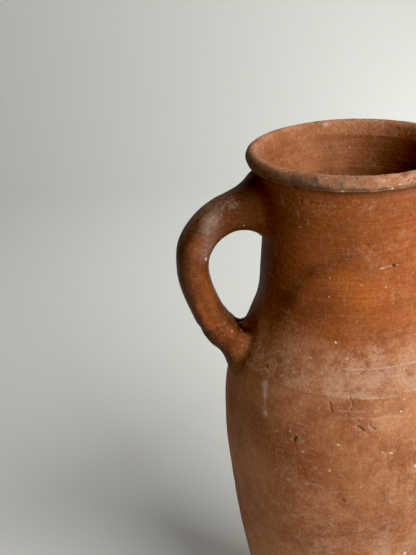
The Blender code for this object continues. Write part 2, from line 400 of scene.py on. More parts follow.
def wall_relief(points, azimuth, height):
    """How far the outer face stands out from the outline, in metres."""
    relief = noise(points, (0.11, 0.11, 0.09)) * 0.0005
    relief += noise(points, (0.26, 0.26, 0.0125), 1.7) * 0.00022
    relief += noise(points, (0.2, 0.2, 0.0046), 4.9) * 0.00011
    relief += layered(points, 0.012, 3, 9.1) * 0.00007
    # Below the neck the jar is slightly out of round.
    relief += 0.0004 * np.cos(2 * azimuth + 0.7) * smooth(0.44, 0.38, height)

    # The shoulder ends in a small ragged ledge over the joining band.
    fade = 0.3 + 0.7 * smooth(-0.3, 0.5, noise(points, (0.035, 0.035, 9.0), 2.2))
    edge = height - band_edge(points)
    relief -= 0.0005 * fade * smooth(0.0004, -0.0006, edge) * smooth(-0.009, -0.002, edge)
    relief += 0.00035 * fade * bell(edge - 0.0008, 0.0011)
    # Two fine grooves run round under the band.
    for level, depth in ((BAND_LOW + 0.0003, 0.00004), (BAND_LOW + 0.0024, 0.00006)):
        wander = noise(points, (0.06, 0.06, 9.0), 8.0 + level) * 0.00025
        share = smooth(-0.6, 0.5, noise(points, (0.05, 0.05, 9.0), 1.3))
        share = share * smooth(0.8, 0.4, np.abs(np.cos(azimuth)))
        relief -= depth * (0.1 + 0.9 * share) * bell(height - level - wander, 0.00062)
    relief += 0.00008 * bell(height - BAND_LOW + 0.0014, 0.001)
    # Turning lines on the shoulder and low on the neck.
    for level, depth, first, last in ((0.3857, 0.00022, -112, -48), (0.4028, 0.0002, -86, 10)):
        along = np.degrees(around(azimuth, (first + last) / 2))
        reach = (last - first) / 2
        share = np.maximum(smooth(reach, reach * 0.75, np.abs(along)), 0.15)
        relief += depth * share * bell(height - level, 0.0008)
        relief -= depth * share * bell(height - level + 0.0017, 0.0009)

    # Clay smeared down from the rolled lip
    smear = smooth(-145, -132, np.degrees(azimuth)) * smooth(-98, -112, np.degrees(azimuth))
    smear = smear * (0.7 + 0.3 * noise(points, (0.006, 0.006, 9.0), 2.8))
    relief += 0.0009 * smear * smooth(0.5135, 0.516, height)
    at = (azimuth, height)
    for place, wide, high, lean in LIME_CHIPS:
        relief += 0.00025 * spot(at, place, wide * MM, high * MM, lean)
    for place, wide, high, depth in PITS:
        relief -= depth * MM * spot(at, place, wide * MM, high * MM)
    bent = (jagged(points, azimuth), height)
    for start, end, wide, depth in GOUGES + CRACKS:
        relief -= depth * MM * stroke(bent, start, end, wide * MM)
    return relief


def inside_relief(points):
    """Finger ridges left inside the jar by throwing."""
    height = points[..., 2]
    ridges = noise(points, (0.5, 0.5, 0.01), 6.3) * 0.00045
    ridges += noise(points, (0.3, 0.3, 0.0042), 2.9) * 0.0003
    ridges += noise(points, (0.08, 0.08, 0.05), 1.1) * 0.0004
    return ridges * smooth(LIP_SEAM, LIP_SEAM - 0.005, height)


# ---------------------------------------------------------------- finish masks


def wall_finish(points, azimuth, height):
    """Shares of soot, dust, lime, ember, pits, slip and burnt clay over the outer wall. The soot, pit and
    burnt shares also carry painted shade, and the dust and lime shares painted highlights.
    """
    mottle = layered(points, 0.03, 4, 5.0)
    cloud = layered(points, 0.085, 3, 12.0)
    bent = (jagged(points, azimuth), height)
    at = (azimuth, height)
    edge = height - band_edge(points)

    soot_and_shade = 0.1 * smooth(0.1, 0.9, cloud) + strokes(at, SOOT_ARCS)
    # Painted shade under the rolled lip, at the top of the neck.
    soot_and_shade += spots(at, SOOT_AND_SHADE_SPOTS) + 0.3 * smooth(0.508, 0.517, height)
    # The wall is darker on the side of each handle: painted shade, and on the neck partly burnishing too.
    near_handle = bell(around(azimuth, 180), 0.9) + bell(around(azimuth, 0), 0.75)
    burnt_and_shade = 0.28 * near_handle + 0.6 * near_handle * smooth(0.385, 0.43, height)
    burnt_and_shade += 0.35 * smooth(-0.2, 0.8, cloud) * smooth(0.4, 0.43, height)
    burnt_and_shade += strokes(bent, SMOKE_AND_SHADOW) + 0.3 * smooth(0.1, 0.9, cloud) * smooth(0.36, 0.33, height)
    # On the neck, the side towards the window light, right of the camera, has less of this darkening:
    # painted light.
    burnt_and_shade *= 1 - 0.7 * bell(around(azimuth, -70), 0.4) * smooth(0.4, 0.42, height)

    dust_and_highlight = 0.62 * smooth(0.362, 0.375, height) * smooth(0.412, 0.388, height)
    dust_and_highlight += 0.34 * smooth(0.372, 0.352, height) + 0.1 * smooth(0.49, 0.51, height)
    dust_and_highlight += 0.6 * bell(edge - 0.0016, 0.0022) * smooth(-0.2, 0.5, mottle)
    dust_and_highlight += spots(at, DUST_SPOTS)
    grit = layered(points, 0.0105, 3, 21.0)
    dust_and_highlight *= 0.45 + 0.5 * smooth(-0.6, 0.7, 0.5 * mottle + 0.7 * grit)
    # Near the handles the dust is thinned, so that the painted shade there stays dark.
    dust_and_highlight *= 1 - 0.4 * np.clip(near_handle, 0, 1)

    ember = spots(at, EMBER_SPOTS) + 0.12 * smooth(0.405, 0.43, height)
    ember += 0.3 * stroke(at, (-74, 0.27), (-106, 0.222), 0.01)

    lime_and_highlight = np.zeros_like(height)
    for place, wide, high, lean in LIME_CHIPS:
        lime_and_highlight = np.maximum(lime_and_highlight, spot(at, place, wide * MM * 0.6, high * MM * 0.6, lean))
    grey = strokes(at, GREY_DRIPS) + spots(at, DRIP_END)
    # Painted highlights on the lit edges of the grooves, the ragged ledge and the gouges, and worn, paler
    # clay in the scratches
    broken = smooth(-0.3, 0.4, noise(points, (0.012, 0.012, 9.0), 3.8))
    light = 0.22 * bell(height - BAND_LOW + 0.0012, 0.0008) * broken
    light += 0.22 * bell(height - BAND_LOW - 0.004, 0.0007) * broken
    light += 0.25 * bell(edge - 0.0007, 0.0008) * broken
    for start, end, wide, _ in GOUGES:
        light += 0.3 * stroke((azimuth, height + 0.0008), start, end, wide * MM) * broken
    for start, end, share in SCRATCHES:
        light += 1.1 * share * stroke(bent, start, end, 0.0004)
    light *= 1 - np.clip(2.5 * near_handle - 0.6, 0, 1)
    # The painted highlights go into the lime and dust shares.
    lime_and_highlight = smooth(0.25, 0.75, lime_and_highlight) + grey * 0.42 + light * (0.2 + 0.2 * mottle)
    dust_and_highlight += 1.4 * light

    # Painted shade in the pits, the cracks and the two deepest gouges.
    pit_shade = np.zeros_like(height)
    for place, wide, high, _ in PITS:
        pit_shade = np.maximum(pit_shade, spot(at, place, wide * MM * 0.75, high * MM * 0.75))
    for start, end, wide, depth in CRACKS:
        pit_shade = np.maximum(pit_shade, 0.8 * depth * stroke(bent, start, end, wide * MM * 0.45))
    for start, end, wide, _ in GOUGES[:2]:
        pit_shade = np.maximum(pit_shade, 0.7 * stroke(bent, start, end, wide * MM * 0.6))
    # Reddish burnished slip covers the neck and thins out over the shoulder.
    slip = smooth(0.385, 0.42, height + 0.006 * mottle)
    slip += 0.25 * smooth(0.2, 0.8, cloud) * (1 - slip)
    slip += 0.6 * spot(at, (-122, 0.312), 0.045, 0.034)
    return dict(soot_and_shade=soot_and_shade, dust_and_highlight=dust_and_highlight, lime_and_highlight=lime_and_highlight, ember=ember, pit_shade=pit_shade, slip=slip, burnt_and_shade=burnt_and_shade)


# ---------------------------------------------------------------- mesh building


def linked(name, data):
    """A new object in the scene."""
    thing = bpy.data.objects.new(name, data)
    bpy.context.scene.collection.objects.link(thing)
    return thing


def grid_normals(points):
    """Unit normals of a grid whose columns wrap round."""
    down = np.gradient(points, axis=0, edge_order=2)
    ring = np.roll(points, -1, axis=1) - np.roll(points, 1, axis=1)
    normals = np.cross(down, ring)
    return normals / (np.linalg.norm(normals, axis=-1)[..., None] + 1e-12)


def grid_mesh(name, points, normals, masks, grain, poles):
    """Closed mesh from a grid whose columns wrap round. The rows wrap too, unless poles close them."""
    rows, columns = points.shape[:2]
    index = np.arange(rows * columns).reshape(rows, columns)
    following = np.roll(index, -1, axis=1)
    order = np.arange(rows if poles else rows + 1) % rows
    upper, lower = order[:-1], order[1:]
    quads = np.stack([index[upper], index[lower], following[lower], following[upper]], -1).reshape(-1, 4)
    vertices = points.reshape(-1, 3)
    values = {key: mask.reshape(-1) for key, mask in masks.items()}
    lines = grain.reshape(-1, 3)
    faces = quads.tolist()
    if poles:
        for ring, forward in ((0, True), (rows - 1, False)):
            centre = len(vertices)
            vertices = np.vstack([vertices, points[ring].mean(axis=0)[None]])
            values = {key: np.append(v, v[index[ring]].mean()) for key, v in values.items()}
            lines = np.vstack([lines, grain[ring].mean(axis=0)[None]])
            for a, b in zip(index[ring].tolist(), following[ring].tolist()):
                faces.append((a, b, centre) if forward else (b, a, centre))
    loose = index[np.linalg.norm(normals, axis=-1) < 0.5]
    corner = vertices[quads]
    volume = np.einsum("ij,ij->i", corner[:, 0], np.cross(corner[:, 1], corner[:, 2])).sum()
    volume += np.einsum("ij,ij->i", corner[:, 0], np.cross(corner[:, 2], corner[:, 3])).sum()
    if volume < 0:
        faces = [tuple(reversed(face)) for face in faces]
    mesh = bpy.data.meshes.new(name)
    mesh.from_pydata(vertices.tolist(), [], faces)
    mesh.shade_smooth()
    sharp = np.zeros(len(faces), bool)
    sharp[: len(quads)] = np.isin(quads, loose).any(axis=1)
    sharp[len(quads) :] = True
    mesh.polygons.foreach_set("use_smooth", ~sharp)
    padded = np.zeros((len(vertices), 3))
    padded[: rows * columns] = normals.reshape(-1, 3)
    mesh.normals_split_custom_set_from_vertices(padded.tolist())
    for key, value in values.items():
        layer = mesh.attributes.new(key, "FLOAT", "POINT")
        layer.data.foreach_set("value", np.clip(value, 0.0, 1.0).astype(np.float32))
    layer = mesh.attributes.new("grain", "FLOAT_VECTOR", "POINT")
    layer.data.foreach_set("vector", lines.astype(np.float32).ravel())
    return linked(name, mesh)


def ladder(*stretches):
    """Heights along a run of stretches, each (start, end, spacing)."""
    heights = []
    for start, end, spacing in stretches:
        count = max(int(round(abs(end - start) / spacing)), 1)
        heights += list(np.linspace(start, end, count + 1)[:-1])
    return np.array(heights + [stretches[-1][1]])


def turned_piece(name, path, poles):
    """Wall piece. path lists (radius, height, face), and face says which relief it takes."""
    radius, height = (repeated([point[i] for point in path]) for i in (0, 1))
    azimuth = np.tile(ANGLES, (len(path), 1))
    face = np.array([point[2] for point in path])
    flat = cylindrical(radius, azimuth, height)
    outside, inside, underside = ((face == kind)[:, None] for kind in ("outer", "inner", "base"))
    radius += np.where(outside, wall_relief(flat, azimuth, height), 0.0)
    radius += np.where(inside, inside_relief(flat), 0.0)
    height += np.where(underside, base_relief(flat), 0.0)
    points = cylindrical(radius, azimuth, height)
    masks, within = wall_finish(flat, azimuth, height), inside_finish(flat, height)
    masks = {key: np.where(outside, mask, within[key]) for key, mask in masks.items()}
    normals = np.zeros_like(points)
    for kind, outward in (("outer", 1.0), ("inner", -1.0), ("base", 0.0)):
        stretch = np.flatnonzero(face == kind)
        if len(stretch) > 2:
            part = grid_normals(points[stretch])
            if kind == "outer":
                part = seamless_normals(height[stretch, 0], points[stretch])
            facing = (part * points[stretch] * (1, 1, 0)).sum(-1) * outward
            if kind == "base":
                facing = -part[..., 2]
            normals[stretch] = part * np.sign(np.median(facing))
    return grid_mesh(name, points, normals, masks, points * WALL_GRAIN, poles)


def outer_wall(height):
    """One ring of points of the outer wall, with its relief, at every column."""
    radius, height = repeated([outer_radius(height)]), repeated([height])
    radius += wall_relief(cylindrical(radius, ANGLES, height), ANGLES, height)
    return cylindrical(radius, ANGLES, height)


def seamless_normals(heights, points):
    """Normals of a stretch of outer wall, taking in the rows just past its two ends."""
    before, after = 2 * heights[0] - heights[1], 2 * heights[-1] - heights[-2]
    return grid_normals(np.concatenate([outer_wall(before), points, outer_wall(after)]))[1:-1]


def base_relief(points):
    """Shallow curved cuts left under the base by the string that freed it from the wheel."""
    loops = np.hypot(points[..., 0] - 0.03, points[..., 1] + 0.055)
    reach = np.hypot(points[..., 0], points[..., 1])
    cuts = np.sin(loops / 0.0021) * 0.00018 + noise(points, (0.02, 0.02, 0.02)) * 0.0002
    return (np.abs(cuts) + 0.0002) * smooth(0.043, 0.037, reach)


def inside_finish(points, height):
    """The inside is plainer: dusty and pale by the mouth, darker further down, with a painted shadow high
    on one side.
    """
    mottle = layered(points, 0.03, 3, 15.0)
    azimuth = np.arctan2(points[..., 1], points[..., 0])
    # Painted shadow high on the inner wall around azimuth 20 degrees, the side that the window light
    # misses.
    painted_shadow = bell(around(azimuth, 20), 0.9) * smooth(0.4, 0.45, height)
    streak = bell(around(azimuth, 93) * 0.068, 0.0045) * smooth(0.465, 0.5, height)
    dust_and_highlight = 0.1 + 0.15 * smooth(-0.3, 0.7, mottle)
    ember = 0.06 * smooth(0.42, 0.5, height)
    soot_and_shade = 0.1 * smooth(0.0, 0.8, mottle) + 0.15 * smooth(0.45, 0.05, height) + 0.3 * painted_shadow
    burnt_and_shade = 0.28 + 0.22 * smooth(0.49, 0.4, height) + 0.16 * smooth(-0.2, 0.7, mottle)
    burnt_and_shade += 0.45 * painted_shadow + 0.09 * streak
    slip = 0.15 * smooth(0.3, 0.42, height)
    blank = np.zeros_like(height)
    return dict(soot_and_shade=soot_and_shade, dust_and_highlight=dust_and_highlight, lime_and_highlight=blank, ember=ember, pit_shade=blank, slip=slip, burnt_and_shade=burnt_and_shade)


def wall_path(face, radius, *stretches):
    """Path along one face of the wall, through stretches of (start, end, spacing)."""
    return [(float(radius(h)), float(h), face) for h in ladder(*stretches)]


def step(path, height, inset, count=3):
    """Adds a flat ledge to a path, in a few steps so that its edge stays crisp.

    It ends at a height, as far inside the outline as inset says.
    """
    last_radius, last_height, _ = path[-1]
    radius = float(outer_radius(height)) - inset
    for i in range(1, count + 1):
        t = i / count
        point = (last_radius + (radius - last_radius) * t, last_height + (height - last_height) * t)
        path.append((*point, "ledge"))


def build_lower_body():
    corner = 0.01
    top = SECTION_SEAM
    path = [(float(r), FLOOR, "inner") for r in (0.008, 0.018, 0.028)]
    reach = float(inner_radius(FLOOR + corner)) - corner
    for i in range(5):
        angle = math.radians(90) * i / 4
        path.append((reach + corner * math.sin(angle), FLOOR + corner * (1 - math.cos(angle)), "inner"))
    path += wall_path("inner", inner_radius, (FLOOR + corner, top, 0.016))[1:]
    step(path, top, BAND_DEPTH)
    step(path, BAND_LOW, BAND_DEPTH)
    step(path, BAND_LOW, SEAM_INSET)
    # The rows are closer together where the photograph shows the wall.
    fine, middling, plain = (BAND_LOW, 0.3, 0.00105), (0.3, 0.165, 0.0022), (0.165, BASE_CHAMFER, 0.004)
    path += wall_path("outer", outer_radius, fine, middling, plain)
    foot = float(outer_radius(0.0))
    path.append((foot - BASE_CHAMFER * 0.35, BASE_CHAMFER * 0.35, "ledge"))
    path.append((foot - BASE_CHAMFER, 0.0, "ledge"))
    for radius in np.linspace(foot - BASE_CHAMFER - 0.001, 0.0015, 24):
        path.append((float(radius), 0.0, "base"))
    return turned_piece("lower_body_clay", path, True)


def build_band():
    path = wall_path("outer", outer_radius, (BAND_HIGH, BAND_LOW, 0.00045))
    step(path, BAND_LOW, BAND_DEPTH)
    step(path, BAND_HIGH, BAND_DEPTH, 4)
    step(path, BAND_HIGH, SEAM_INSET)
    return turned_piece("joining_band_clay", path, False)


def build_shoulder():
    path = wall_path("outer", outer_radius, (NECK_SEAM, BAND_HIGH, 0.0007))
    step(path, BAND_HIGH, BAND_DEPTH)
    step(path, SECTION_SEAM, BAND_DEPTH)
    path += wall_path("inner", inner_radius, (SECTION_SEAM, NECK_SEAM, 0.006))
    return turned_piece("shoulder_clay", path, False)


def build_neck():
    path = wall_path("outer", outer_radius, (LIP_SEAM, NECK_SEAM, 0.00095))
    path += wall_path("inner", inner_radius, (NECK_SEAM, LIP_SEAM, 0.0022))
    return turned_piece("neck_clay", path, False)


# ---------------------------------------------------------------- the rolled rim


def bezier(points, t):
    a, b, c, d = (np.array(point) for point in points)
    t = t[:, None]
    return (1 - t) ** 3 * a + 3 * (1 - t) ** 2 * t * b + 3 * (1 - t) * t**2 * c + t**3 * d


def build_rim():
    """Rolled lip: flush with the neck inside, uneven outside, with a smeared lower edge and chips."""
    centre, middle = RIM_RADIUS - RIM_ROLL, HEIGHT - RIM_ROLL
    seat_in, seat_out = float(inner_radius(LIP_SEAM)), RIM_SEAT_RADIUS
    flank = ((seat_in, LIP_SEAM), (seat_in + 0.0006, 0.5232), (0.0705, HEIGHT), (centre, HEIGHT))
    inside = bezier(flank, np.linspace(0, 1, 26)[:-1])
    bend = np.linspace(math.radians(90), math.radians(-84), 42)
    outside = np.stack([centre + RIM_ROLL * np.cos(bend), middle + RIM_ROLL * np.sin(bend)], -1)
    radius, height = (repeated(side) for side in np.concatenate([inside, outside]).T)
    azimuth = np.tile(ANGLES, (len(radius), 1))
    # The way that the section faces: half a turn on the flank inside, then round the roll
    turn = repeated(np.concatenate([np.linspace(math.pi, math.pi / 2, 26)[:-1], bend]))
    flat = cylindrical(radius, azimuth, height)

    swell = noise(flat, (0.06, 0.06, 9.0), 6.0) * 0.00035
    swell += noise(flat, (0.018, 0.018, 0.02), 2.5) * 0.00016
    swell += layered(flat, 0.006, 4, 3.3) * 0.00016
    groove = noise(flat, (0.03, 0.03, 9.0), 7.1)
    swell -= (0.00016 + 0.00016 * groove) * bell(turn + 0.45 + 0.22 * groove, 0.16)
    # The roll's lower edge is smeared onto the neck, further down in some places.
    ragged = noise(flat, (0.022, 0.022, 9.0), 4.4) + 0.5 * noise(flat, (0.007, 0.007, 9.0), 5.2)
    swell += smooth(math.radians(-15), math.radians(-70), turn) * (0.0002 + 0.001 * ragged)
    for place, wide, high, depth in LIP_CHIPS:
        chip = spot((azimuth, height), place, wide * MM, high * MM)
        swell -= depth * MM * chip * (np.cos(turn) > 0)
    swell *= smooth(LIP_SEAM, LIP_SEAM + 0.002, height)
    radius += swell * np.cos(turn)
    height += swell * np.sin(turn)
    height += 0.0005 * np.sin(2 * azimuth + 1.0) * smooth(LIP_SEAM, middle, height)

    seat = repeated(seat_out + (seat_in - seat_out) * np.array(SEAT_SHARES))
    radius = np.concatenate([radius, seat])
    height = np.concatenate([height, np.full_like(seat, LIP_SEAM)])
    turn = np.concatenate([turn, np.full_like(seat, math.radians(-100))])
    azimuth = np.tile(ANGLES, (len(radius), 1))
    points = cylindrical(radius, azimuth, height)
    normals = np.zeros_like(points)
    lip = len(points) - len(seat)
    normals[:lip] = grid_normals(points[:lip])
    normals *= np.sign(normals[lip // 2, :, 2].sum())
    masks = rim_finish(points, azimuth, turn)
    return grid_mesh("rim_clay", points, normals, masks, points * RIM_GRAIN, False)


def rim_finish(points, azimuth, turn):
    """Grey-brown patina and pale crust on the lip, with painted shade under the roll, in its groove and
    away from the window light, and painted light on the side towards it. turn is the way that its section
    faces.
    """
    at = (azimuth, points[..., 2])
    mottle = layered(points, 0.02, 4, 8.0)
    speckle = layered(points, 0.005, 3, 4.7)
    facing_out = np.cos(turn)
    outer_half = facing_out > 0
    # lit marks the side towards the window light, painted with less soot and burnt clay and paler wear:
    # painted light.
    lit = bell(around(azimuth, -62), 0.75)
    # The underside of the roll is painted dark, as painted shade.
    under = smooth(math.radians(-38), math.radians(-62), turn)
    soot_and_shade = 0.56 * smooth(-0.1, 0.65, facing_out + 0.35 * mottle) * (1 - 0.75 * lit)
    soot_and_shade += 0.3 * smooth(0.0, 0.9, speckle) * smooth(-0.3, 0.3, facing_out)
    soot_and_shade -= 0.25 * smooth(0.2, 0.8, mottle)
    # Painted shade in the groove round the roll and over its lower half.
    soot_and_shade += 0.2 * bell(turn + 0.45, 0.16) + 0.14 * smooth(0.35, -0.35, turn) + 0.25 * under
    dust_and_highlight = 0.22 + 0.35 * bell(turn - math.radians(100), 0.5)
    dust_and_highlight += 0.28 * bell(turn - 0.55, 0.4) * smooth(-0.3, 0.4, speckle)
    worn = smooth(-0.2, 0.3, facing_out) * smooth(-0.4, 0.6, speckle + 0.5 * mottle)
    dust_and_highlight += (0.2 + 0.3 * lit) * worn + 0.22 * (1 - lit) * smooth(0.0, 0.6, facing_out)
    dust_and_highlight *= 1 - 0.9 * under
    ember = 0.06 * smooth(0.4, -0.2, facing_out)
    burnt_and_shade = 0.28 * smooth(0.2, 0.9, facing_out) * (1 - lit) + 0.7 * under
    burnt_and_shade += 0.24 * smooth(-0.1, -0.7, facing_out)
    lime_and_highlight = np.zeros_like(turn)
    for place, wide, high in LIP_LIME:
        lime_and_highlight = np.maximum(lime_and_highlight, spot(at, place, wide * MM, high * MM) * outer_half)
    mark = bell(around(azimuth, 91) * 0.07, 0.0019) * bell(turn - math.radians(124), 0.16)
    lime_and_highlight = lime_and_highlight * (0.7 + 0.5 * mottle) + 0.42 * mark
    pit_shade = spot(at, (-153.0, 0.5215), 0.0013, 0.001) * outer_half
    pit_shade = np.maximum(pit_shade, spot(at, (-136.5, 0.5195), 0.0015, 0.0008) * outer_half)
    slip = 0.35 - 0.15 * smooth(0.0, -0.6, facing_out)
    return dict(soot_and_shade=soot_and_shade, dust_and_highlight=dust_and_highlight, lime_and_highlight=lime_and_highlight, ember=ember, pit_shade=pit_shade, slip=slip, burnt_and_shade=burnt_and_shade)


# ---------------------------------------------------------------- the strap handles

# Ribs of a handle from neck to shoulder: outer point, inner point (distance out, height) and
# half width. The first and last lie on the wall.
RIBS = (
    ((0.0748, 0.5172), (0.0703, 0.4640), 0.0300),
    ((0.0780, 0.5142), (0.0722, 0.4664), 0.0240),
    ((0.0815, 0.5100), (0.0755, 0.4695), 0.0208),
    ((0.0868, 0.5052), (0.0805, 0.4724), 0.0190),
    ((0.0935, 0.5014), (0.0865, 0.4737), 0.0181),
    ((0.1035, 0.4972), (0.0925, 0.4734), 0.0176),
    ((0.1155, 0.4902), (0.0990, 0.4710), 0.0172),
    ((0.1280, 0.4780), (0.1064, 0.4654), 0.0168),
    ((0.1354, 0.4640), (0.1118, 0.4562), 0.0166),
    ((0.1378, 0.4460), (0.1134, 0.4450), 0.0166),
    ((0.1364, 0.4298), (0.1112, 0.4310), 0.0168),
    ((0.1312, 0.4120), (0.1072, 0.4180), 0.0172),
    ((0.1242, 0.3957), (0.1016, 0.4050), 0.0176),
    ((0.1168, 0.3825), (0.0957, 0.3960), 0.0184),
    ((0.1096, 0.3730), (0.0905, 0.3915), 0.0190),
    ((0.1054, 0.3640), (0.0855, 0.3915), 0.0196),
    ((0.1030, 0.3560), (0.0822, 0.3945), 0.0202),
    ((0.0998, 0.3480), (0.0800, 0.3990), 0.0214),
)
ROOT_RIBS = 4
FOOT_RIBS = 4
RAILS = 132
HANDLE_ROWS = 250


def rib_points(angle):
    """Points of every rib, and a length along the handle for each rib."""
    last = len(RIBS) - 1
    ribs, middles = [], []
    for i, (outer, inner, half_width) in enumerate(RIBS):
        outer, inner = np.array(outer), np.array(inner)
        squareness = 2.1 + 0.6 * min(i, last - i, 4) / 4
        out = np.sign(np.cos(angle)) * np.abs(np.cos(angle)) ** (2 / squareness)
        across = np.sign(np.sin(angle)) * np.abs(np.sin(angle)) ** (2 / squareness)
        middle, half = (outer + inner) / 2, (outer - inner) / 2
        x, z, y = middle[0] + half[0] * out, middle[1] + half[1] * out, half_width * across
        # Near the wall a rib curls back at its sides, as the wall does.
        curl = max(0.0, 1.0 - (min(i, last - i) - 1) / 3)
        x -= curl * y**2 / (2 * outer_radius(middle[1]))
        if i in (0, last):
            x = np.sqrt(outer_radius(z) ** 2 - y**2)
        ribs.append(np.stack([x, y, z], -1))
        middles.append(middle)
    steps = np.linalg.norm(np.diff(np.array(middles), axis=0), axis=1)
    return np.array(ribs), np.concatenate([[0.0], np.cumsum(steps)])


def loft(ribs, length, rows):
    """Smooth surface through the ribs, with each row's place along the handle."""
    at = np.linspace(0.0, length[-1], rows)
    return cubic(length, ribs, np.gradient(ribs, length, axis=0), at), at


def build_handle(side, label):
    """Gusset, strap and foot pad of one handle, as three closed pieces."""
    angle = np.arange(RAILS) * math.tau / RAILS
    ribs, length = rib_points(angle)
    rows, at = loft(ribs, length, HANDLE_ROWS)
    root_end, pad_start = length[ROOT_RIBS], length[-1 - FOOT_RIBS]
    # Place along the handle: -1 to 0 over the root, 0 to 1 over the strap, 1 to 2 over the pad.
    share = np.interp(at, (0.0, root_end, pad_start, length[-1]), (-1.0, 0.0, 1.0, 2.0))
    along = share[:, None] + 0 * rows[..., 0]
    theta = angle[None, :] + 0 * along
    rows = rows * np.array([side, 1.0, 1.0])

    # Clay texture: drawn ridges along the strap, soft lumps, and the pad's raised edge.
    lines = np.stack([np.cos(theta) * 0.02, np.sin(theta) * 0.02, along * 0.02], -1)
    body = (smooth(-0.6, 0.1, along)) * smooth(1.9, 1.3, along)
    relief = noise(lines, (0.0036, 0.0036, 0.05), 3.0 + side) * 0.00022 * body
    relief += noise(rows, (0.022, 0.022, 0.022), 1.0) * 0.00055 * body
    relief += layered(rows, 0.008, 3, 2.0) * 0.00012
    seam = 0.925 - 0.035 * np.cos(theta) + 0.03 * noise(lines, (0.009, 0.009, 9.0), 6.6)
    past = along - seam
    relief += 0.0005 * smooth(-0.12, -0.02, past) * smooth(0.01, -0.01, past)
    relief += 0.0009 * smooth(0.01, 0.06, past) * smooth(1.6, 1.0, along)
    relief -= 0.0007 * bell(past, 0.014)
    crevice = 0.0
    for across in (-0.0125, 0.0125):
        gap = from_line(rows, (side * 0.0935, 0.0, 0.393), (side * 0.085, across, 0.3898))
        crevice += bell(gap, 0.0026)
    crevice = np.clip(crevice, 0.0, 1.0)
    relief -= 0.0018 * crevice
    rows += surface_normals(rows) * relief[..., None]
    normals = surface_normals(rows)
    # The smeared edges run into the wall without a crease.
    merging = np.maximum(1 - smooth(-1.0, -0.7, along), smooth(1.55, 2.0, along))[..., None]
    normals = normals * (1 - merging) + wall_normals(rows) * merging
    normals /= np.linalg.norm(normals, axis=-1)[..., None]

    masks = handle_finish(rows, normals, along, theta, past, crevice)
    grain = np.stack([np.cos(theta) * 7, np.sin(theta) * 7, along * 1.3], -1) * 2.2

    first, second = int(np.searchsorted(share, 0.0)), int(np.searchsorted(share, 0.9))
    pieces = []
    parts = (
        (f"handle_{label}_root_clay", slice(0, first + 1), 1, 0),
        (f"handle_{label}_clay", slice(first, second + 1), 0, 0),
        (f"handle_{label}_pad_clay", slice(second, len(rows)), 0, 1),
    )
    for name, cut, starts, ends in parts:
        grid = rows[cut]
        # A sunk ring is added where the piece meets the wall, with the values of its edge.
        if starts:
            grid = np.concatenate([sunk(grid[0]), grid])
        if ends:
            grid = np.concatenate([grid, sunk(grid[-1])])
        margin = ((starts, ends), (0, 0), (0, 0))
        facing, strands = (np.pad(v[cut], margin, "edge") for v in (normals, grain))
        picked = {key: np.pad(mask[cut], margin[:2], "edge") for key, mask in masks.items()}
        pieces.append(grid_mesh(name, grid, facing, picked, strands, True))
    return pieces


def from_line(points, start, end):
    """Distance of points from a straight line between two places."""
    start, span = np.array(start), np.array(end) - np.array(start)
    t = np.clip(((points - start) @ span) / (span @ span), 0.0, 1.0)
    return np.linalg.norm(points - start - t[..., None] * span, axis=-1)


def sunk(ring):
    """A copy of a footprint's edge, pushed into the wall so that the piece closes inside it."""
    centre = ring.mean(axis=0)
    inward = centre + (ring - centre) * 0.94
    radial = inward * np.array([1.0, 1.0, 0.0])
    radial /= np.linalg.norm(radial, axis=-1)[:, None]
    return (inward - radial * 0.0022)[None]


def surface_normals(rows):
    """Unit normals of a handle's rails, pointing away from its middle line."""
    normals = grid_normals(rows)
    facing = np.einsum("ijk,ijk->ij", normals, rows - rows.mean(axis=1, keepdims=True))
    return normals * np.sign(np.median(facing))


def wall_normals(points):
    """Normals of the plain wall at the azimuth and height of each point."""
    height = np.clip(points[..., 2], MM, LIP_SEAM - MM)
    lean = (outer_radius(height + MM) - outer_radius(height - MM)) / (2 * MM)
    reach = np.hypot(points[..., 0], points[..., 1])
    normals = np.stack([points[..., 0] / reach, points[..., 1] / reach, -lean], -1)
    return normals / np.linalg.norm(normals, axis=-1)[..., None]


